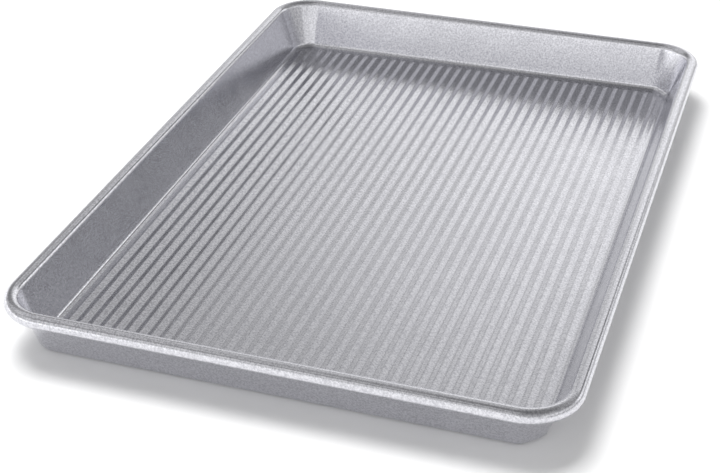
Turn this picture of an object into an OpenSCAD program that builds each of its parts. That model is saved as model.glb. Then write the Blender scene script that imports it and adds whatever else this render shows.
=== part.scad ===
// Jelly roll pan: a shallow oblong baking pan pressed from one steel sheet.
// The floor is fluted from end to end, the walls flare, and the rim is curled outward round a wire.
// Origin: centre of the underside, on the table. X is the width, Y runs along the flutes, Z is up.

/* [Overall] */
// Width over the rim
pan_w = 266.7; // [220:0.1:330]
// Length over the rim, along the flutes
pan_l = 381; // [300:0.1:460]
// Height from the table to the top of the rim
pan_h = 27.9; // [20:0.1:40]
// Corner radius of the rim, seen from above
corner_r = 25; // [22:0.5:40]

/* [Sheet] */
// Thickness of the steel sheet
sheet_t = 0.8; // [0.5:0.05:1.2]
// Distance from the outside of the rim in to the foot of the wall
wall_inset = 14.4; // [13:0.1:17]
// Bend radius at the foot of the wall, on the food side
foot_bend_r = 3; // [1:0.1:4]

/* [Rim] */
// Diameter of the wire inside the rim
wire_d = 5.4; // [3:0.1:6]
// Clearance between the wire and the sheet curled round it
wire_clearance = 0.1; // [0.05:0.05:0.3]
// Gap between the curled edge of the sheet and the wall
curl_gap = 0.4; // [0.2:0.1:1]
// Gap between the butted ends of the wire
wire_butt_gap = 1; // [0.5:0.1:3]

/* [Flutes] */
// Spacing of the flutes
flute_pitch = 6.08; // [5.9:0.01:8]
// Width of one flute at its base
flute_w = 5.8; // [3.5:0.1:5.8]
// Height of one flute above the land round it
flute_h = 0.8; // [0.3:0.05:0.9]
// Radius along the crown of a flute
crown_r = 0.6; // [0.5:0.1:1.5]
// Least flat land between the outer flutes and the foot of the side walls and corners
side_land = 3.2; // [3:0.1:12]
// Flat land between the ends of the flutes and the foot of the end walls
end_land = 3.2; // [3:0.1:20]

/* [Hidden] */
$fn = 96;
// How far a solid is carried into its neighbour before the two are joined
lap = 0.2;
// Straight steps that make up each arc of the sheet's section
bend_steps = 6;
curl_steps = 26;
// Straight steps that make up the crown of a flute
crown_steps = 4;

// Centre of each corner's arcs; radii below are measured from it
corner_x = pan_w / 2 - corner_r;
corner_y = pan_l / 2 - corner_r;

// The bead is the sheet curled round the wire
curl_inner_r = wire_d / 2 + wire_clearance;
bead_r = curl_inner_r + sheet_t;
bead_at = [corner_r - bead_r, pan_h - bead_r];

// The wall's food side runs from the foot line and touches the bead, which sets its flare
foot_at = [corner_r - wall_inset, sheet_t];
foot_to_bead = bead_at - foot_at;
flare = acos(bead_r / norm(foot_to_bead)) - atan2(foot_to_bead.y, foot_to_bead.x);

// Centre of the bend between the floor and the wall
bend_at = [foot_at.x - foot_bend_r * tan((90 - flare) / 2), sheet_t + foot_bend_r];

// The curl runs over the wire from the wall's top until its edge nearly meets the wall again
curl_edge_turn = acos((curl_inner_r - curl_gap) / bead_r);
curl_edge_angle = 180 - flare + curl_edge_turn;

// Points along an arc
function arc(centre, radius, from, to, steps) = [
    for (i = [0 : steps])
        let (turn = from + (to - from) * i / steps)
            centre + radius * [cos(turn), sin(turn)]
];

function reverse(points) = [for (i = [len(points) - 1 : -1 : 0]) points[i]];

// One side of the sheet's section: a strip of floor, the bend at the foot, the wall and the curl
function sheet_side(bend_r, curl_r, floor_z) = concat(
    [[bend_at.x - lap, floor_z]],
    arc(bend_at, bend_r, -90, -flare, bend_steps),
    arc(bead_at, curl_r, 180 - flare, curl_edge_angle - 360, curl_steps)
);

// A flute's sides are tangent to its crown
crown_at = [0, flute_h - crown_r];
flute_foot_to_crown = crown_at - [flute_w / 2, 0];
flute_slope = asin(crown_r / norm(flute_foot_to_crown))
    + atan2(flute_foot_to_crown.y, -flute_foot_to_crown.x);

// As many flutes as fit between the side lands, centred on the pan
foot_x = corner_x + foot_at.x;
foot_y = corner_y + foot_at.x;
flute_count = floor(2 * (foot_x - side_land) / flute_pitch);

// Where the round end of a flute is centred. Beside a corner it comes sooner, to clear the foot there.
end_reach = foot_y - end_land - flute_w / 2;
corner_reach = max(0, foot_at.x - side_land - flute_w / 2);

function flute_reach(x) =
    let (past = abs(x) - corner_x)
        past > 0
            ? min(end_reach, corner_y + sqrt(max(0, pow(corner_reach, 2) - pow(past, 2))))
            : end_reach;

// Section of the sheet from the floor's edge up the wall and over the wire
module sheet_section() {
    polygon(concat(
        sheet_side(foot_bend_r, bead_r, sheet_t),
        reverse(sheet_side(foot_bend_r + sheet_t, curl_inner_r, 0))
    ));
}

// Carries a section, drawn as radius and height, round the pan's four sides and corners
module round_the_pan() {
    for (side = [0, 1], end = [0, 1])
        mirror([side, 0, 0])
            mirror([0, end, 0])
                translate([corner_x, corner_y, 0])
                    rotate_extrude(angle = 90)
                        children();
    for (side = [0, 1])
        mirror([side, 0, 0])
            translate([corner_x, 0, 0])
                rotate([90, 0, 0])
                    linear_extrude(2 * corner_y, center = true)
                        children();
    for (end = [0, 1])
        mirror([0, end, 0])
            translate([0, corner_y, 0])
                rotate([90, 0, 90])
                    linear_extrude(2 * corner_x, center = true)
                        children();
}

// Flat floor up to where the foot's bend starts
module floor_plate() {
    linear_extrude(sheet_t) {
        square([2 * (corner_x + bend_at.x), 2 * corner_y], center = true);
        square([2 * corner_x, 2 * (corner_y + bend_at.x)], center = true);
        for (side = [-1, 1], end = [-1, 1])
            translate([side * corner_x, end * corner_y])
                circle(bend_at.x);
    }
}

// Section across one flute, with a skirt under it for joining and cutting
module flute_section() {
    polygon([
        [-flute_w / 2, -lap],
        [flute_w / 2, -lap],
        [flute_w / 2, 0],
        each arc(crown_at, crown_r, 90 - flute_slope, 90 + flute_slope, crown_steps),
        [-flute_w / 2, 0]
    ]);
}

// One flute along Y with round, tapering ends centred at the reach
module flute(reach) {
    rotate([90, 0, 0])
        linear_extrude(2 * reach, center = true)
            flute_section();
    for (end = [0, 1])
        mirror([0, end, 0])
            translate([0, reach, 0])
                rotate_extrude(angle = 180)
                    intersection() {
                        flute_section();
                        translate([0, -lap])
                            square(flute_w);
                    }
}

module flutes() {
    for (i = [0 : flute_count - 1])
        let (x = (i - (flute_count - 1) / 2) * flute_pitch)
            translate([x, 0, 0])
                flute(flute_reach(x));
}

// The pressed sheet: fluted floor, flared walls, drawn corners and curled rim
module pan_shell() {
    color("silver")
        difference() {
            union() {
                floor_plate();
                round_the_pan()
                    sheet_section();
                translate([0, 0, sheet_t])
                    flutes();
            }
            flutes();
        }
}

// The wire that stiffens the rim, bent to a loop with its ends butted at the middle of one end
module rim_wire() {
    color("dimgray")
        difference() {
            round_the_pan()
                translate(bead_at)
                    circle(d = wire_d);
            translate([0, pan_l / 2, bead_at.y])
                cube([wire_butt_gap, corner_r, 2 * wire_d], center = true);
        }
}

pan_shell();
rim_wire();
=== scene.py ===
"""A jelly roll pan of fluted sheet steel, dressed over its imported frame, in metres.

The pan is one pressed sheet: a fluted floor, flared walls, drawn corners and a rim that is curled
outward round a wire. Overall sizes come from the frame, and the sheet's own sizes are in PanSizes.
"""

import logging
import math
from dataclasses import dataclass, field
from enum import Enum
from typing import Any

import bmesh
import bpy
from mathutils import Matrix, Vector, geometry


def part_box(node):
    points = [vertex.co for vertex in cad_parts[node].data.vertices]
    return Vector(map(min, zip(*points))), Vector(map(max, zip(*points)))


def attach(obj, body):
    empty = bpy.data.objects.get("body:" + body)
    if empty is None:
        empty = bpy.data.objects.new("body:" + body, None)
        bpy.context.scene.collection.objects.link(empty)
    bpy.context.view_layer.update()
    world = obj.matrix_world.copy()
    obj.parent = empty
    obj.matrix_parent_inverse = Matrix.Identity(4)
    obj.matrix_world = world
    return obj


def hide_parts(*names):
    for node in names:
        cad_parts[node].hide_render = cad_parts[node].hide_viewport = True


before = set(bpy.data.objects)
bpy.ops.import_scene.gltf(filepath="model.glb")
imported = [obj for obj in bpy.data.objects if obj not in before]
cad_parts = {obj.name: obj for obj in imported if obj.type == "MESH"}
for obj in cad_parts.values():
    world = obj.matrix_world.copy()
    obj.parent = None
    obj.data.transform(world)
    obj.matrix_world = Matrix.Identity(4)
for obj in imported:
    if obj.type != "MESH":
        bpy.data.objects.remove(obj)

LOG = logging.getLogger("pan")
MM = 0.001

# Numbers of a Mix node's sockets for colours, which share their names with its other sockets
MIX_SHARE, MIX_FIRST, MIX_SECOND, MIX_RESULT = 0, 6, 7, 2
# Tells the triangulation to keep only the triangles inside the outlines
INSIDE_OUTLINES = 1
# Angles in degrees
ZENITH = 90.0
HALF_TURN = 180.0

Point = tuple[float, float]
Place = tuple[float, float, float]
Colour = tuple[float, float, float, float]


def linear_colour(hex_code: str) -> Colour:
    """Turn an sRGB hex colour into the linear colour that the shaders take.

    Args:
        hex_code: six hex digits after a hash sign, such as "#c8c8cc".

    Returns:
        Linear red, green and blue, with an alpha of 1.
    """
    channels = [int(hex_code[i : i + 2], 16) / 255 for i in (1, 3, 5)]
    # The curve of the sRGB standard, which is straight near black
    linear = [c / 12.92 if c <= 0.04045 else ((c + 0.055) / 1.055) ** 2.4 for c in channels]
    return (linear[0], linear[1], linear[2], 1.0)


def add_node(
    tree: bpy.types.NodeTree,
    kind: str,
    settings: dict[str, Any] | None = None,
    links: dict[str | int, bpy.types.NodeSocket] | None = None,
) -> bpy.types.Node:
    """Add one node to a tree, set it up and wire its inputs.

    Args:
        tree: the node tree of a material or a world.
        kind: Blender's type name of the node.
        settings: values by property name or, where the node has no such property, by input.
        links: the output that feeds each named or numbered input.

    Returns:
        The new node.
    """
    node = tree.nodes.new(kind)
    for name, value in (settings or {}).items():
        if isinstance(name, str) and hasattr(node, name):
            setattr(node, name, value)
        else:
            node.inputs[name].default_value = value
    for name, source in (links or {}).items():
        tree.links.new(source, node.inputs[name])
    return node


def empty_tree(owner: bpy.types.Material | bpy.types.World) -> bpy.types.NodeTree:
    """Turn on the nodes of a material or a world, and clear them.

    Args:
        owner: the material or world.

    Returns:
        Its empty node tree.
    """
    owner.use_nodes = True
    owner.node_tree.nodes.clear()
    return owner.node_tree


@dataclass(frozen=True)
class PanSizes:
    """Sizes of the pan in millimetres, as the section and the floor are drawn from them."""

    width: float
    length: float
    height: float
    corner_r: float = 25.0
    sheet_t: float = 0.8
    wall_inset: float = 14.4
    foot_bend_r: float = 3.0
    bead_r: float = 3.6
    curl_gap: float = 0.4
    flute_pitch: float = 6.08
    flute_count: int = 38
    flute_h: float = 0.8
    crown_r: float = 1.9
    valley_r: float = 1.9
    side_land: float = 3.2
    end_land: float = 3.2

    @property
    def corner(self) -> Point:
        """Centre of the arcs of the corner at +X and +Y."""
        return (self.width / 2 - self.corner_r, self.length / 2 - self.corner_r)

    @property
    def bead_at(self) -> Point:
        """Centre of the rim's bead, as radius from the corner's centre and height."""
        return (self.corner_r - self.bead_r, self.height - self.bead_r)

    @property
    def flare(self) -> float:
        """Angle between the wall and the vertical, for a wall that touches the bead.

        Returns:
            The angle, in radians.
        """
        across = self.bead_at[0] - (self.corner_r - self.wall_inset)
        up = self.bead_at[1] - self.sheet_t
        return math.acos(self.bead_r / math.hypot(across, up)) - math.atan2(up, across)

    @property
    def bend_at(self) -> Point:
        """Centre of the bend at the foot of the wall."""
        reach = self.foot_bend_r * math.tan((math.pi / 2 - self.flare) / 2)
        return (self.corner_r - self.wall_inset - reach, self.sheet_t + self.foot_bend_r)


@dataclass(frozen=True)
class Springback:
    """How far this pan's floor has wandered from the drawing, in millimetres.

    A drawn sheet relaxes as it leaves the die, so its foot and its flutes sit a little off centre.
    """

    flutes_left: float = 0.77
    right_foot_in: float = 1.6
    far_foot_out: float = 1.25
    far_foot_skew: float = 1.25
    right_corners_in: float = 1.5

    def shift(self, x: float, y: float, half: Point, corner_turn: float = 0.0) -> Point:
        """How far a point of the foot has moved.

        Args:
            x: the point's place across the pan.
            y: the point's place along the pan.
            half: half the foot's width and length.
            corner_turn: the point's turn round its corner in radians, or 0 on a straight side.

        Returns:
            The move across and along the pan.
        """
        right = max(0.0, x) / half[0]
        far = max(0.0, y) / half[1]
        across = -self.right_foot_in * right
        along = far * (self.far_foot_out + self.far_foot_skew * x / half[0])
        # The right corners are pulled in slantwise, most of all at the middle of the corner
        at_right = round(right)
        tuck = self.right_corners_in * math.sin(2 * corner_turn) ** 2 * at_right
        pull = tuck * math.sqrt(0.5)
        return (across - pull, along - pull * math.copysign(1.0, y))


def arc(centre: Point, radius: float, start: float, end: float, steps: int) -> list[Point]:
    """Points along an arc, both ends included.

    Args:
        centre: the arc's centre.
        radius: its radius.
        start: the angle that it starts at, in radians, anticlockwise from the first axis.
        end: the angle that it ends at, in radians.
        steps: how many straight pieces it is drawn in.

    Returns:
        The points, one more than the steps.
    """
    turns = [start + (end - start) * i / steps for i in range(steps + 1)]
    return [(centre[0] + radius * math.cos(a), centre[1] + radius * math.sin(a)) for a in turns]


def between(start: Point, end: Point, share: float) -> Point:
    """Point on the straight line from one point to another.

    Args:
        start: the first point.
        end: the other point.
        share: how far along the line, from 0 to 1.

    Returns:
        The point.
    """
    return (start[0] + (end[0] - start[0]) * share, start[1] + (end[1] - start[1]) * share)


def direction(azimuth: float, elevation: float) -> Vector:
    """Direction in which something is seen from the pan.

    Args:
        azimuth: 0 behind the pan, 90 at its right and -90 at its left, in degrees.
        elevation: height over the floor, in degrees.

    Returns:
        The direction, with a length of 1.
    """
    a, e = math.radians(azimuth), math.radians(elevation)
    return Vector((math.sin(a) * math.cos(e), math.cos(a) * math.cos(e), math.sin(e)))


def new_object(name: str, data: bpy.types.ID) -> bpy.types.Object:
    """Put a mesh, lamp or camera into the scene.

    Args:
        name: the object's name.
        data: the mesh, lamp or camera.

    Returns:
        The object.
    """
    piece = bpy.data.objects.new(name, data)
    bpy.context.scene.collection.objects.link(piece)
    return piece


@dataclass(frozen=True)
class AluminisedSteel:
    """Mild steel sheet, hot-dipped in aluminium and silicon, pressed, then given a clear film.

    The dip leaves a bright, neutral grey metal with a fine frosty grain. The eye sees soft mirror
    images that fade out with distance, and a sparkle of lighter and darker specks. The baked film
    is clear and thin, so it has no layer of its own here and counts in the metal's roughness.
    """

    base: str = "#e0e0e5"
    dark_grain: str = "#bebec4"
    roughness: float = 0.20
    roughness_spread: float = 0.06
    # The real grain is a few tenths of a millimetre, too fine to show, so it is drawn coarser
    grain_mm: float = 0.9
    grain_detail: float = 3.0
    grain_harshness: float = 0.6
    # Levels of the grain's noise that are fully dark and fully light
    grain_range: Point = (0.35, 0.62)
    grain_height_mm: float = 0.002
    # Broad patches where the dip froze a little smoother or rougher
    cloud_mm: float = 18.0
    cloud_detail: float = 4.0
    cloud_harshness: float = 0.55
    cloud_range: Point = (0.3, 0.7)

    def build(self) -> bpy.types.Material:
        """Make the material.

        Returns:
            The material.
        """
        material = bpy.data.materials.new("aluminised_steel")
        tree = empty_tree(material)
        place = add_node(tree, "ShaderNodeTexCoord").outputs["Object"]
        grain, cloud = [
            add_node(
                tree,
                "ShaderNodeTexNoise",
                {"Scale": 1 / (size_mm * MM), "Detail": detail, "Roughness": harshness},
                {"Vector": place},
            ).outputs["Fac"]
            for size_mm, detail, harshness in (
                (self.grain_mm, self.grain_detail, self.grain_harshness),
                (self.cloud_mm, self.cloud_detail, self.cloud_harshness),
            )
        ]
        specks = add_node(
            tree,
            "ShaderNodeMapRange",
            {"From Min": self.grain_range[0], "From Max": self.grain_range[1]},
            {"Value": grain},
        ).outputs["Result"]
        colour = add_node(
            tree,
            "ShaderNodeMix",
            {
                "data_type": "RGBA",
                MIX_FIRST: linear_colour(self.dark_grain),
                MIX_SECOND: linear_colour(self.base),
            },
            {MIX_SHARE: specks},
        ).outputs[MIX_RESULT]
        rough = add_node(
            tree,
            "ShaderNodeMapRange",
            {
                "From Min": self.cloud_range[0],
                "From Max": self.cloud_range[1],
                "To Min": self.roughness - self.roughness_spread / 2,
                "To Max": self.roughness + self.roughness_spread / 2,
            },
            {"Value": cloud},
        ).outputs["Result"]
        bump = add_node(
            tree,
            "ShaderNodeBump",
            {"Strength": 1.0, "Distance": self.grain_height_mm * MM},
            {"Height": grain},
        ).outputs["Normal"]
        shader = add_node(
            tree,
            "ShaderNodeBsdfPrincipled",
            {"Metallic": 1.0},
            {"Base Color": colour, "Roughness": rough, "Normal": bump},
        )
        add_node(tree, "ShaderNodeOutputMaterial", links={"Surface": shader.outputs["BSDF"]})
        return material


@dataclass(frozen=True)
class DrawnWire:
    """Bright steel wire, drawn through a die.

    Drawing leaves fine scuffs on the wire, so its shine changes a little from spot to spot.
    """

    base: str = "#a9a9ad"
    roughness: float = 0.34
    roughness_spread: float = 0.12
    scuff_mm: float = 0.5
    scuff_detail: float = 2.0

    def build(self) -> bpy.types.Material:
        """Make the material.

        Returns:
            The material.
        """
        material = bpy.data.materials.new("drawn_wire_steel")
        tree = empty_tree(material)
        place = add_node(tree, "ShaderNodeTexCoord").outputs["Object"]
        scuffs = add_node(
            tree,
            "ShaderNodeTexNoise",
            {"Scale": 1 / (self.scuff_mm * MM), "Detail": self.scuff_detail},
            {"Vector": place},
        ).outputs["Fac"]
        rough = add_node(
            tree,
            "ShaderNodeMapRange",
            {
                "To Min": self.roughness - self.roughness_spread / 2,
                "To Max": self.roughness + self.roughness_spread / 2,
            },
            {"Value": scuffs},
        ).outputs["Result"]
        shader = add_node(
            tree,
            "ShaderNodeBsdfPrincipled",
            {"Base Color": linear_colour(self.base), "Metallic": 1.0},
            {"Roughness": rough},
        )
        add_node(tree, "ShaderNodeOutputMaterial", links={"Surface": shader.outputs["BSDF"]})
        return material


@dataclass(frozen=True)
class PaperSweep:
    """Matt white background paper, uncoated, so that it is plain, pale and without shine.

    A faint glow stands for the light that comes through the paper from below.
    """

    base: str = "#f7f7f7"
    mottle: str = "#f3f3f3"
    mottle_mm: float = 60.0
    mottle_detail: float = 2.0
    roughness: float = 0.9
    shine: float = 0.0
    glow: float = 0.02

    def build(self) -> bpy.types.Material:
        """Make the material.

        Returns:
            The material.
        """
        material = bpy.data.materials.new("paper_sweep")
        tree = empty_tree(material)
        place = add_node(tree, "ShaderNodeTexCoord").outputs["Object"]
        mottle = add_node(
            tree,
            "ShaderNodeTexNoise",
            {"Scale": 1 / (self.mottle_mm * MM), "Detail": self.mottle_detail},
            {"Vector": place},
        ).outputs["Fac"]
        colour = add_node(
            tree,
            "ShaderNodeMix",
            {
                "data_type": "RGBA",
                MIX_FIRST: linear_colour(self.base),
                MIX_SECOND: linear_colour(self.mottle),
            },
            {MIX_SHARE: mottle},
        ).outputs[MIX_RESULT]
        shader = add_node(
            tree,
            "ShaderNodeBsdfPrincipled",
            {
                "Roughness": self.roughness,
                "Specular IOR Level": self.shine,
                "Emission Color": linear_colour(self.base),
                "Emission Strength": self.glow,
            },
            {"Base Color": colour},
        )
        add_node(tree, "ShaderNodeOutputMaterial", links={"Surface": shader.outputs["BSDF"]})
        return material


class Face(Enum):
    """The two sides of the pressed floor."""

    FOOD = "food"
    UNDER = "under"


@dataclass
class MeshParts:
    """Vertices and faces gathered from patches, welded where the patches meet."""

    vertices: list[Place] = field(default_factory=list)
    faces: list[tuple[int, ...]] = field(default_factory=list)

    def add(self, vertices: list[Place], faces: list[tuple[int, ...]]) -> None:
        """Add one patch.

        Args:
            vertices: the patch's points, in millimetres.
            faces: its faces, numbered from its own first point.
        """
        first = len(self.vertices)
        self.vertices.extend(vertices)
        self.faces.extend(tuple(first + i for i in face) for face in faces)

    def add_grid(self, rows: list[list[Place]], flip: bool = False) -> None:
        """Add a patch of quads between neighbouring rows of points.

        Args:
            rows: rows with the same number of points each, in millimetres.
            flip: turns the faces over.
        """
        width = len(rows[0])
        flat = [point for row in rows for point in row]
        faces = []
        for r in range(len(rows) - 1):
            for c in range(width - 1):
                a = r * width + c
                quad = (a, a + 1, a + width + 1, a + width)
                faces.append(quad[::-1] if flip else quad)
        self.add(flat, faces)

    def to_mesh(self, name: str, weld: float, sliver: float) -> bpy.types.Mesh:
        """Turn the patches into one welded mesh.

        Args:
            name: the mesh's name.
            weld: points nearer than this are joined, in millimetres.
            sliver: edges shorter than this are taken out, in millimetres.

        Returns:
            The mesh, in metres.
        """
        mesh = bpy.data.meshes.new(name)
        mesh.from_pydata([tuple(MM * v for v in p) for p in self.vertices], [], self.faces)
        work = bmesh.new()
        work.from_mesh(mesh)
        bmesh.ops.remove_doubles(work, verts=work.verts, dist=weld * MM)
        bmesh.ops.dissolve_degenerate(work, edges=work.edges, dist=sliver * MM)
        work.to_mesh(mesh)
        work.free()
        mesh.validate()
        return mesh


@dataclass
class PanShell:
    """The pressed sheet: fluted floor, flared walls, drawn corners and rolled rim.

    The steps are how many straight pieces make up each bend, and the lengths are in millimetres.
    """

    sizes: PanSizes
    finish: AluminisedSteel = field(default_factory=AluminisedSteel)
    springback: Springback = field(default_factory=Springback)
    bend_steps: int = 10
    curl_steps: int = 48
    wall_steps: int = 8
    corner_steps: int = 36
    slope_steps: int = 3
    arc_steps: int = 5
    cap_steps: int = 24
    # Points nearer than this are one point
    weld: float = 0.002
    sliver: float = 0.0002
    fill_tolerance: float = 1e-6
    # Least flat land between the round end of a flute and the bend at the foot of a corner
    least_land: float = 0.1
    # Edges sharper than this stay sharp to the eye, in degrees
    sharp_angle: float = 50.0
    normal_weight: int = 100

    def flute_profile(self) -> list[Point]:
        """Half of a flute's section, from its crown out to the middle of the valley.

        Returns:
            Points as distance from the flute's middle and height above the land.
        """
        s = self.sizes
        half = s.flute_pitch / 2
        radii = s.crown_r + s.valley_r
        drop = radii - s.flute_h
        reach = math.hypot(half, drop)
        slope = math.asin(radii / reach) - math.atan2(drop, half)
        up = math.pi / 2
        crown = arc((0, s.flute_h - s.crown_r), s.crown_r, up, up - slope, self.arc_steps)
        valley = arc((half, s.valley_r), s.valley_r, -up - slope, -up, self.arc_steps)
        side = [
            between(crown[-1], valley[0], i / self.slope_steps) for i in range(1, self.slope_steps)
        ]
        return crown + side + valley

    def flute_middles(self) -> list[float]:
        """Where the flutes lie across the pan.

        Returns:
            X of the middle of each flute, from the left.
        """
        s = self.sizes
        first = -(s.flute_count - 1) / 2 * s.flute_pitch - self.springback.flutes_left
        return [first + i * s.flute_pitch for i in range(s.flute_count)]

    def half_foot(self) -> Point:
        """Half the width and half the length of the floor at the foot of the walls."""
        s = self.sizes
        return (s.width / 2 - s.wall_inset, s.length / 2 - s.wall_inset)

    def reach(self, middle: float, end: int) -> float:
        """How far from the pan's middle a flute's round end is centred, which is less by a corner.

        Args:
            middle: X of the flute's middle.
            end: 1 for the far end, -1 for the near one.

        Returns:
            The distance along the pan.
        """
        s = self.sizes
        past = abs(middle) - s.corner[0]
        half = self.half_foot()
        reach = half[1] - s.end_land - s.flute_pitch / 2
        if past > 0:
            room = s.corner_r - s.wall_inset - s.side_land - s.flute_pitch / 2
            reach = min(reach, s.corner[1] + math.sqrt(max(0.0, room**2 - past**2)))
        reach += end * self.springback.shift(middle, end * half[1], half)[1]
        if past > 0:
            bend = self.bend_line()
            clear = s.flute_pitch / 2 + self.least_land
            # The pulled-in corners come nearer, so the round end is moved back until it is clear
            while min(math.dist((middle, end * reach), spot) for spot in bend) < clear:
                reach -= self.least_land
        return reach

    def ends(self, middle: float) -> Point:
        """Y of the centres of a flute's near and far round ends."""
        return (-self.reach(middle, -1), self.reach(middle, 1))

    def level(self, side: Face) -> float:
        """Height of the flat land on one side of the floor."""
        return self.sizes.sheet_t if side is Face.FOOD else 0.0

    def cap_turns(self) -> list[float]:
        """Angles at which the round end of a flute is drawn, in radians."""
        return [math.pi * i / self.cap_steps for i in range(self.cap_steps + 1)]

    def bend_line(self) -> list[Point]:
        """Line once round the floor where the bend at the foot of the walls starts."""
        return [(x, y) for x, y, _ in self.path_points(self.sizes.bend_at[0])]

    def add_round_ends(self, parts: MeshParts, side: Face, middle: float) -> None:
        """Add the round, tapering ends of one flute.

        Args:
            parts: the mesh in the making.
            side: the side of the floor.
            middle: X of the flute's middle.
        """
        half = self.flute_profile()
        level = self.level(side)
        for end in (-1, 1):
            reach = self.reach(middle, end)
            fan = [
                [
                    (middle + x * math.cos(a), end * (reach + x * math.sin(a)), level + z)
                    for x, z in half
                ]
                for a in self.cap_turns()
            ]
            parts.add_grid(fan, (side is Face.UNDER) == (end > 0))

    def add_run(self, parts: MeshParts, side: Face, number: int) -> None:
        """Add the straight run of one flute.

        Each outer strip of the run is one face, with a corner more where the flute beside it ends
        sooner, so that no gap opens between the two.

        Args:
            parts: the mesh in the making.
            side: the side of the floor.
            number: the flute's number, from 0 at the left.
        """
        flip = side is Face.UNDER
        level = self.level(side)
        half = self.flute_profile()
        across = [(-x, z) for x, z in half[::-1]] + half[1:]
        middles = self.flute_middles()
        middle = middles[number]
        ends = self.ends(middle)
        near, far = [[(middle + x, y, level + z) for x, z in across] for y in ends]
        parts.add_grid([near[1:-1], far[1:-1]], flip)
        for edge, inward, beside in ((0, 1, number - 1), (-1, -2, number + 1)):
            x, _, z = near[edge]
            stops = self.ends(middles[beside]) if 0 <= beside < len(middles) else ()
            inside = [y for y in stops if ends[0] + self.weld < y < ends[1] - self.weld]
            corners = [near[edge], *((x, y, z) for y in inside), far[edge]]
            corners += [far[inward], near[inward]]
            order = tuple(range(len(corners)))
            parts.add(corners, [order if (edge == 0) == flip else order[::-1]])

    def add_flutes(self, parts: MeshParts, side: Face) -> None:
        """Add the flutes of one side of the floor.

        Args:
            parts: the mesh in the making.
            side: the side of the floor.
        """
        for number, middle in enumerate(self.flute_middles()):
            self.add_round_ends(parts, side, middle)
            self.add_run(parts, side, number)

    def land_outlines(self) -> tuple[list[Point], list[Point]]:
        """Outlines of the flat land round the flutes.

        Returns:
            The outer and the inner outline, both anticlockwise.
        """
        radius = self.sizes.flute_pitch / 2
        inner: list[Point] = []
        for end, middles in ((-1, self.flute_middles()), (1, self.flute_middles()[::-1])):
            for middle in middles:
                reach = self.reach(middle, end)
                inner.extend(
                    (middle + end * radius * math.cos(a), end * (reach + radius * math.sin(a)))
                    for a in self.cap_turns()
                )
        kept = [p for i, p in enumerate(inner) if math.dist(p, inner[i - 1]) > self.weld]
        return self.bend_line(), kept

    def add_land(self, parts: MeshParts, side: Face) -> None:
        """Fill the flat land between the flutes and the bend at the foot of the walls.

        Args:
            parts: the mesh in the making.
            side: the side of the floor.
        """
        points: list[Vector] = []
        edges: list[tuple[int, int]] = []
        for outline in self.land_outlines():
            first, count = len(points), len(outline)
            points += [Vector(p) for p in outline]
            edges += [(first + i, first + (i + 1) % count) for i in range(count)]
        corners, _, triangles = geometry.delaunay_2d_cdt(
            points, edges, [], INSIDE_OUTLINES, self.fill_tolerance
        )[:3]
        faces = []
        for triangle in triangles:
            a, b, c = (corners[i] for i in triangle)
            # The inner outline is filled as well, with the flutes in it
            if self.on_flute((a + b + c) / 3):
                continue
            upward = (b - a).cross(c - a) > 0
            faces.append(tuple(triangle if upward == (side is Face.FOOD) else triangle[::-1]))
        parts.add([(v.x, v.y, self.level(side)) for v in corners], faces)

    def on_flute(self, spot: Vector) -> bool:
        """Whether a point of the floor lies on a flute.

        Args:
            spot: the point, seen from above.

        Returns:
            True inside the flute's outline, whose round ends are made of straight steps.
        """
        radius = self.sizes.flute_pitch / 2
        middle = min(self.flute_middles(), key=lambda x: abs(x - spot.x))
        across = abs(spot.x - middle)
        past = max(0.0, abs(spot.y) - self.reach(middle, 1 if spot.y > 0 else -1))
        step = math.pi / self.cap_steps
        off_step = math.atan2(past, across) % step - step / 2
        edge = radius * math.cos(step / 2) / math.cos(off_step)
        return across <= radius and math.hypot(across, past) < edge

    def path_points(self, radius: float, z: float = 0.0, moved: float = 1.0) -> list[Place]:
        """Points at one radius and height once round the pan, anticlockwise from +X.

        Args:
            radius: distance from the corners' centres.
            z: height.
            moved: how much of the springback's move the points take, from 0 to 1.

        Returns:
            The points, in millimetres.
        """
        cx, cy = self.sizes.corner
        half = self.half_foot()
        points = []
        for quarter, (sx, sy) in enumerate(((1, 1), (-1, 1), (-1, -1), (1, -1))):
            for i in range(self.corner_steps + 1):
                turn = math.pi / 2 * i / self.corner_steps
                a = math.pi / 2 * quarter + turn
                x, y = sx * cx + radius * math.cos(a), sy * cy + radius * math.sin(a)
                dx, dy = self.springback.shift(x, y, half, turn)
                points.append((x + moved * dx, y + moved * dy, z))
        return points

    def sheet_section(self) -> list[Place]:
        """Section of the sheet from the floor's edge over the rim and back underneath.

        Returns:
            Points as radius, height and the share of the springback that reaches them, which is
            all of it at the foot and none at the rim.
        """
        s = self.sizes
        inner_r = s.bead_r - s.sheet_t
        down = -math.pi / 2
        start = math.pi - s.flare
        end = start + math.acos((inner_r - s.curl_gap) / s.bead_r) - 2 * math.pi
        section = []
        for bend_r, curl_r, step in (
            (s.foot_bend_r, s.bead_r, 1),
            (s.foot_bend_r + s.sheet_t, inner_r, -1),
        ):
            foot = arc(s.bend_at, bend_r, down, -s.flare, self.bend_steps)
            curl = arc(s.bead_at, curl_r, start, end, self.curl_steps)
            wall = [
                (*between(foot[-1], curl[0], i / self.wall_steps), 1 - i / self.wall_steps)
                for i in range(1, self.wall_steps)
            ]
            run = [(x, z, 1.0) for x, z in foot] + wall + [(x, z, 0.0) for x, z in curl]
            section += run[::step]
        return section

    def add_walls(self, parts: MeshParts) -> None:
        """Carry the section round the pan."""
        rings = [self.path_points(*point) for point in self.sheet_section()]
        parts.add_grid([ring + ring[:1] for ring in rings], flip=True)

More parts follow.
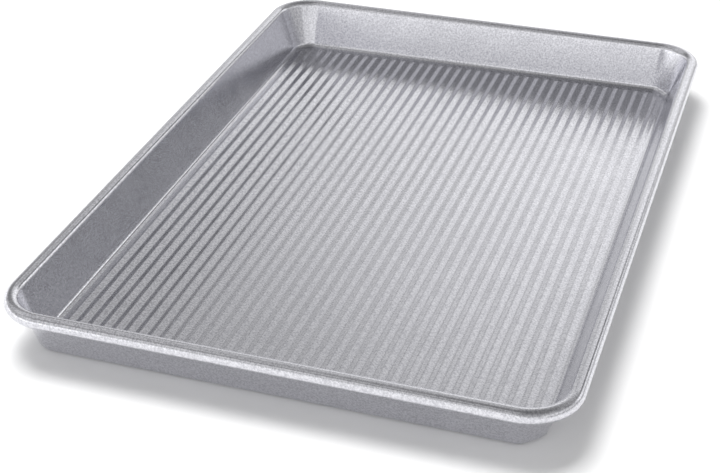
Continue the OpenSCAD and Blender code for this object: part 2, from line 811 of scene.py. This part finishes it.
    def dress(self, piece: bpy.types.Object) -> None:
        """Give the sheet its smooth shading and its finish.

        Args:
            piece: the sheet.
        """
        piece.data.shade_smooth()
        piece.data.set_sharp_from_angle(angle=math.radians(self.sharp_angle))
        weighted = piece.modifiers.new("face_weighted_normals", "WEIGHTED_NORMAL")
        weighted.keep_sharp = True
        weighted.weight = self.normal_weight
        piece.data.materials.append(self.finish.build())

    def build(self) -> bpy.types.Object:
        """Build and dress the pan's sheet.

        Returns:
            The sheet.
        """
        parts = MeshParts()
        self.add_walls(parts)
        for side in Face:
            self.add_flutes(parts, side)
            self.add_land(parts, side)
        piece = new_object("pan_sheet", parts.to_mesh("pan_sheet", self.weld, self.sliver))
        self.dress(piece)
        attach(piece, "root")
        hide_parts("pan_shell")
        return piece


@dataclass
class RimWire:
    """The wire inside the rolled rim, which is the frame's own solid with a better finish."""

    finish: DrawnWire = field(default_factory=DrawnWire)

    def dress(self, piece: bpy.types.Object) -> None:
        """Put the finish on the wire, in place of the frame's own."""
        piece.data.materials.clear()
        piece.data.materials.append(self.finish.build())

    def build(self) -> bpy.types.Object:
        """Take the wire from the frame and dress it.

        Returns:
            The wire.
        """
        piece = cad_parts["rim_wire"]
        self.dress(piece)
        return piece


@dataclass(frozen=True)
class SoftPanel:
    """One soft panel of light, or a dark flag, as the pan sees it. All angles are in degrees.

    Azimuth is 0 behind the pan, -90 at its left, 90 at its right and 180 in front of it. The
    level is added to the sky's, and is below 0 for a flag. The edge is how wide the fade is.
    """

    azimuth: float
    elevation: float
    width: float
    height: float
    level: float
    edge: float = 12.0


@dataclass(frozen=True)
class KeyLight:
    """A large soft lamp high at the back left, which lights the floor and throws the shadow.

    It is hidden from mirror images, so the metal shows the panels and not the lamp.
    """

    azimuth: float = -60.0
    elevation: float = 74.0
    distance: float = 3.0
    size: float = 1.6
    watts: float = 80.0

    def build(self) -> bpy.types.Object:
        """Hang the lamp, aimed at the pan.

        Returns:
            The lamp.
        """
        data = bpy.data.lights.new("key_lamp", "AREA")
        data.shape = "SQUARE"
        data.size = self.size
        data.energy = self.watts
        lamp = new_object("key_lamp", data)
        way = direction(self.azimuth, self.elevation)
        lamp.location = way * self.distance
        lamp.rotation_euler = way.to_track_quat("Z", "Y").to_euler()
        lamp.visible_glossy = False
        return lamp


@dataclass
class Studio:
    """A pale floor and a soft surround of light panels."""

    # Light of the plain sky, as elevation in degrees and level
    sky: tuple[Point, ...] = (
        (0, 0.55),
        (10, 0.58),
        (20, 0.52),
        (40, 0.52),
        (50, 0.42),
        (62, 0.28),
        (90, 0.20),
    )
    panels: tuple[SoftPanel, ...] = (
        # Behind the pan, for the bright stripes of the floor and the inside of the right rim
        SoftPanel(azimuth=5, elevation=21, width=34, height=29, level=0.74, edge=16),
        # Back left, for the stripes at the near end and at the right
        SoftPanel(azimuth=-24, elevation=22.5, width=22, height=13, level=0.46, edge=8),
        SoftPanel(azimuth=-18, elevation=17, width=13, height=9, level=0.40, edge=8),
        # Flags above those, which darken the floor between the stripes
        SoftPanel(azimuth=-42, elevation=33, width=32, height=20, level=-0.30, edge=6),
        SoftPanel(azimuth=-22, elevation=26, width=16, height=6, level=-0.22, edge=8),
        # Low at the left, for the far wall and the far right corner
        SoftPanel(azimuth=-105, elevation=1, width=200, height=14, level=0.30),
        SoftPanel(azimuth=-102, elevation=3, width=106, height=18, level=0.80),
        # Flag at the back right, for the dull left wall and the dark stripes beside it
        SoftPanel(azimuth=28, elevation=27, width=17, height=12, level=-0.75, edge=10),
        # Right of it, for the left wall, with a flag above for the wall's near end
        SoftPanel(azimuth=46, elevation=21, width=34, height=15, level=1.00),
        SoftPanel(azimuth=60, elevation=36, width=50, height=12, level=-0.30),
        # Right, for the far left corner and the outside of the walls
        SoftPanel(azimuth=103, elevation=23, width=60, height=20, level=0.40),
        # In front, for the far wall and the outside of the near wall
        SoftPanel(azimuth=-175, elevation=10, width=110, height=26, level=0.40),
        SoftPanel(azimuth=-174, elevation=21, width=16, height=14, level=0.50, edge=8),
        # Higher in front, for the far ends of the flutes
        SoftPanel(azimuth=-142, elevation=39, width=52, height=16, level=0.38),
        SoftPanel(azimuth=-138, elevation=67, width=80, height=12, level=0.35, edge=10),
        # High at the left, for the top of the rim
        SoftPanel(azimuth=-60, elevation=56, width=90, height=34, level=0.30, edge=16),
    )
    floor_size: float = 12.0
    paper: PaperSweep = field(default_factory=PaperSweep)

    def build_floor(self) -> bpy.types.Object:
        """Lay the pale floor that the pan stands on.

        Returns:
            The floor.
        """
        half = self.floor_size / 2
        mesh = bpy.data.meshes.new("studio_floor")
        corners = [(-half, -half, 0), (half, -half, 0), (half, half, 0), (-half, half, 0)]
        mesh.from_pydata(corners, [], [(0, 1, 2, 3)])
        mesh.materials.append(self.paper.build())
        floor = new_object("studio_floor", mesh)
        return floor

    def add_window(
        self,
        tree: bpy.types.NodeTree,
        angle: bpy.types.NodeSocket,
        middle: float,
        width: float,
        edge: float,
    ) -> bpy.types.NodeSocket:
        """Add nodes that give 1 inside a range of angles and fade to 0 outside it.

        Args:
            tree: the world's nodes.
            angle: the output that carries the angle, in degrees.
            middle: the middle of the range.
            width: the width of the range.
            edge: the width of the fade at each side.

        Returns:
            The output that carries the result.
        """
        off = add_node(tree, "ShaderNodeMath", {"operation": "SUBTRACT", 1: middle}, {0: angle})
        turn = add_node(
            tree,
            "ShaderNodeMath",
            {"operation": "WRAP", 1: HALF_TURN, 2: -HALF_TURN},
            {0: off.outputs[0]},
        )
        span = add_node(tree, "ShaderNodeMath", {"operation": "ABSOLUTE"}, {0: turn.outputs[0]})
        fade = add_node(
            tree,
            "ShaderNodeMapRange",
            {
                "interpolation_type": "SMOOTHSTEP",
                "From Min": (width - edge) / 2,
                "From Max": (width + edge) / 2,
                "To Min": 1.0,
                "To Max": 0.0,
            },
            {"Value": span.outputs[0]},
        )
        return fade.outputs["Result"]

    def add_sky(
        self, tree: bpy.types.NodeTree, elevation: bpy.types.NodeSocket
    ) -> bpy.types.NodeSocket:
        """Add nodes that give the level of the plain sky.

        Args:
            tree: the world's nodes.
            elevation: the output that carries the elevation, in degrees.

        Returns:
            The output that carries the level.
        """
        share = add_node(
            tree, "ShaderNodeMath", {"operation": "DIVIDE", 1: ZENITH}, {0: elevation}
        ).outputs[0]
        ramp = add_node(tree, "ShaderNodeValToRGB", links={"Fac": share})
        stops = ramp.color_ramp.elements
        while len(stops) < len(self.sky):
            stops.new(1.0)
        for stop, (angle, level) in zip(stops, self.sky):
            stop.position = angle / ZENITH
            stop.color = (level, level, level, 1.0)
        return ramp.outputs["Color"]

    def build_surround(self) -> bpy.types.World:
        """Wrap the scene in soft light: a plain sky, with the panels and flags over it.

        Returns:
            The world that gives the light.
        """
        world = bpy.data.worlds.new("studio_surround")
        bpy.context.scene.world = world
        tree = empty_tree(world)
        way = add_node(tree, "ShaderNodeTexCoord").outputs["Generated"]
        parts = add_node(tree, "ShaderNodeSeparateXYZ", links={0: way}).outputs
        round_about = add_node(
            tree, "ShaderNodeMath", {"operation": "ARCTAN2"}, {0: parts["X"], 1: parts["Y"]}
        )
        rise = add_node(tree, "ShaderNodeMath", {"operation": "ARCSINE"}, {0: parts["Z"]})
        azimuth, elevation = [
            add_node(tree, "ShaderNodeMath", {"operation": "DEGREES"}, {0: n.outputs[0]}).outputs[0]
            for n in (round_about, rise)
        ]
        total = self.add_sky(tree, elevation)
        for panel in self.panels:
            across = self.add_window(tree, azimuth, panel.azimuth, panel.width, panel.edge)
            along = self.add_window(tree, elevation, panel.elevation, panel.height, panel.edge)
            both = add_node(
                tree, "ShaderNodeMath", {"operation": "MULTIPLY"}, {0: across, 1: along}
            ).outputs[0]
            total = add_node(
                tree,
                "ShaderNodeMath",
                {"operation": "MULTIPLY_ADD", 1: panel.level},
                {0: both, 2: total},
            ).outputs[0]
        total = add_node(tree, "ShaderNodeMath", {"operation": "MAXIMUM", 1: 0.0}, {0: total})
        light = add_node(tree, "ShaderNodeBackground", links={"Color": total.outputs[0]})
        add_node(tree, "ShaderNodeOutputWorld", links={"Surface": light.outputs["Background"]})
        return world


@dataclass(frozen=True)
class PhotoCamera:
    """The camera's place round the pan, found by fitting the pan's straight edges in the photo.

    Angles are in degrees, and the azimuth is 180 in front of the pan. The target is in metres.
    """

    azimuth: float = 161.410
    elevation: float = 31.291
    roll: float = -0.401
    distance: float = 0.7827
    target: Place = (-0.00636, -0.04052, 0.0025)
    focal_px: float = 1539.0
    photo_width_px: float = 720.0
    sensor_mm: float = 36.0

    def build(self) -> bpy.types.Object:
        """Set up the scene's camera.

        Returns:
            The camera.
        """
        back = direction(self.azimuth, self.elevation)
        roll = math.radians(self.roll)
        level_right = (-back).cross(Vector((0, 0, 1))).normalized()
        level_up = level_right.cross(-back)
        right = math.cos(roll) * level_right + math.sin(roll) * level_up
        up = math.cos(roll) * level_up - math.sin(roll) * level_right
        data = bpy.data.cameras.new("photo_camera")
        data.sensor_width = self.sensor_mm
        data.sensor_fit = "HORIZONTAL"
        data.lens = self.focal_px / self.photo_width_px * self.sensor_mm
        camera = new_object("photo_camera", data)
        place = Vector(self.target) + back * self.distance
        turn = Matrix((right, up, back)).transposed()
        camera.matrix_world = Matrix.Translation(place) @ turn.to_4x4()
        bpy.context.scene.camera = camera
        return camera


def sizes_from_frame() -> PanSizes:
    """Read the pan's overall sizes from the frame.

    Returns:
        The pan's sizes, in millimetres.
    """
    low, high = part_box("pan_shell")
    width, length, height = ((high - low) / MM)[:]
    return PanSizes(width=width, length=length, height=height)


def main() -> None:
    """Build every piece, in order, and note the size of the result."""
    logging.basicConfig(level=logging.INFO, format="%(name)s: %(message)s")
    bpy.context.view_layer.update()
    bpy.context.scene.view_settings.view_transform = "Standard"
    camera = PhotoCamera().build()
    LOG.info("%s: lens %.1f mm", camera.name, camera.data.lens)
    studio = Studio()
    LOG.info("%s", studio.build_floor().name)
    LOG.info("%s", studio.build_surround().name)
    LOG.info("%s", KeyLight().build().name)
    for part in (PanShell(sizes_from_frame()), RimWire()):
        piece = part.build()
        LOG.info("%s: %d faces", piece.name, len(piece.data.polygons))


if __name__ == "__main__":
    main()
